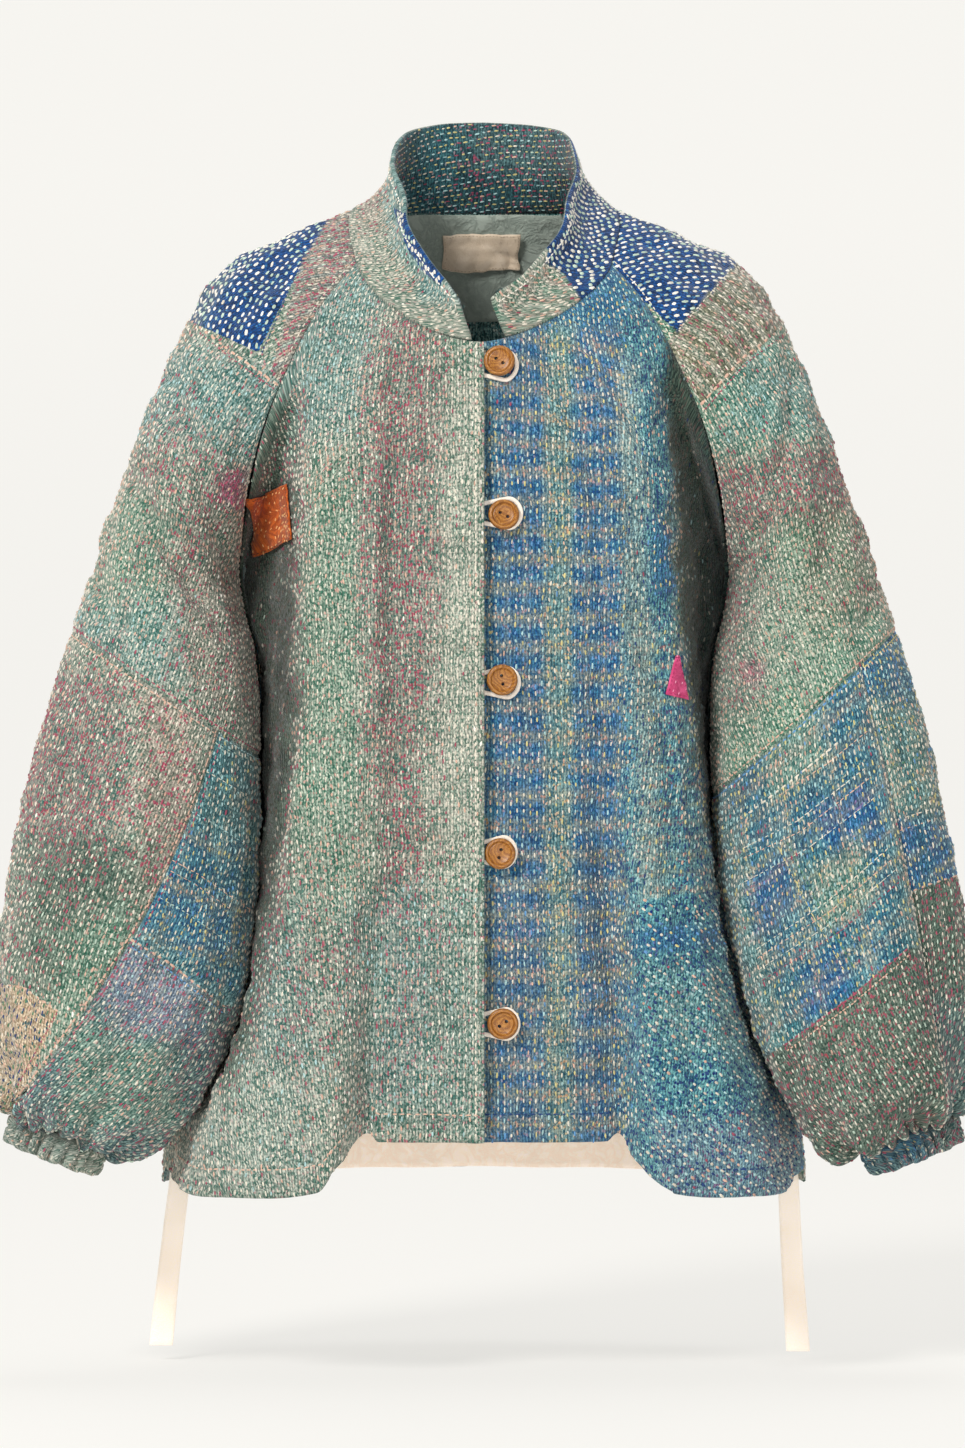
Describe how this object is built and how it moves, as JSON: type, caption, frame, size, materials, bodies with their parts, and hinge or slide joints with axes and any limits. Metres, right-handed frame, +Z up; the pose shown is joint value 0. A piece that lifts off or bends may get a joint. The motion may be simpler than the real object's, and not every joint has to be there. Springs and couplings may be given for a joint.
{
  "type": "quilted bomber jacket",
  "caption": "Loose quilted jacket with a stand collar, balloon raglan sleeves drawn into narrow cuffs, a buttoned front and a flared hem.",
  "frame": {"origin": "middle of the neck base, level with the shoulders that hold the jacket up", "axes": "+Z up, +Y towards the wearer's back, +X towards the wearer's left"},
  "size_m": [0.6581, 0.3412, 0.8409],
  "materials": {
    "kantha_green": "quilted old cotton, sage green with cream and rose running stitches",
    "kantha_blue": "quilted old cotton, blue plaid with cream running stitches",
    "kantha_mixed": "quilted old cotton in sewn patches of green, blue and rose",
    "cotton_facing": "thin crinkled cotton, grey green",
    "label_satin": "woven satin label, bare",
    "cream_cotton": "plain cream cotton tape and casing",
    "orange_cotton": "orange cotton patch with cream running stitches",
    "pink_cotton": "pink cotton patch",
    "button_wood": "turned and waxed wood"
  },
  "bodies": {
    "root": {"front_right": "kantha_green", "sleeve_upper_right": "kantha_mixed", "sleeve_outer_right": "kantha_mixed", "sleeve_inner_right": "kantha_mixed", "cuff_right": "kantha_mixed", "tie_right": "cream_cotton", "front_left": "kantha_blue", "sleeve_upper_left": "kantha_mixed", "sleeve_outer_left": "kantha_mixed", "sleeve_inner_left": "kantha_mixed", "cuff_left": "kantha_mixed", "tie_left": "cream_cotton", "back": "kantha_mixed", "collar": "kantha_mixed", "patch_orange": "orange_cotton", "patch_pink": "pink_cotton", "neck_facing": "cotton_facing", "label": "label_satin", "hem_casing": "cream_cotton", "button_1": "button_wood", "loop_1": "cream_cotton", "button_2": "button_wood", "loop_2": "cream_cotton", "button_3": "button_wood", "loop_3": "cream_cotton", "button_4": "button_wood", "loop_4": "cream_cotton", "button_5": "button_wood", "loop_5": "cream_cotton"}
  },
  "joints": []
}
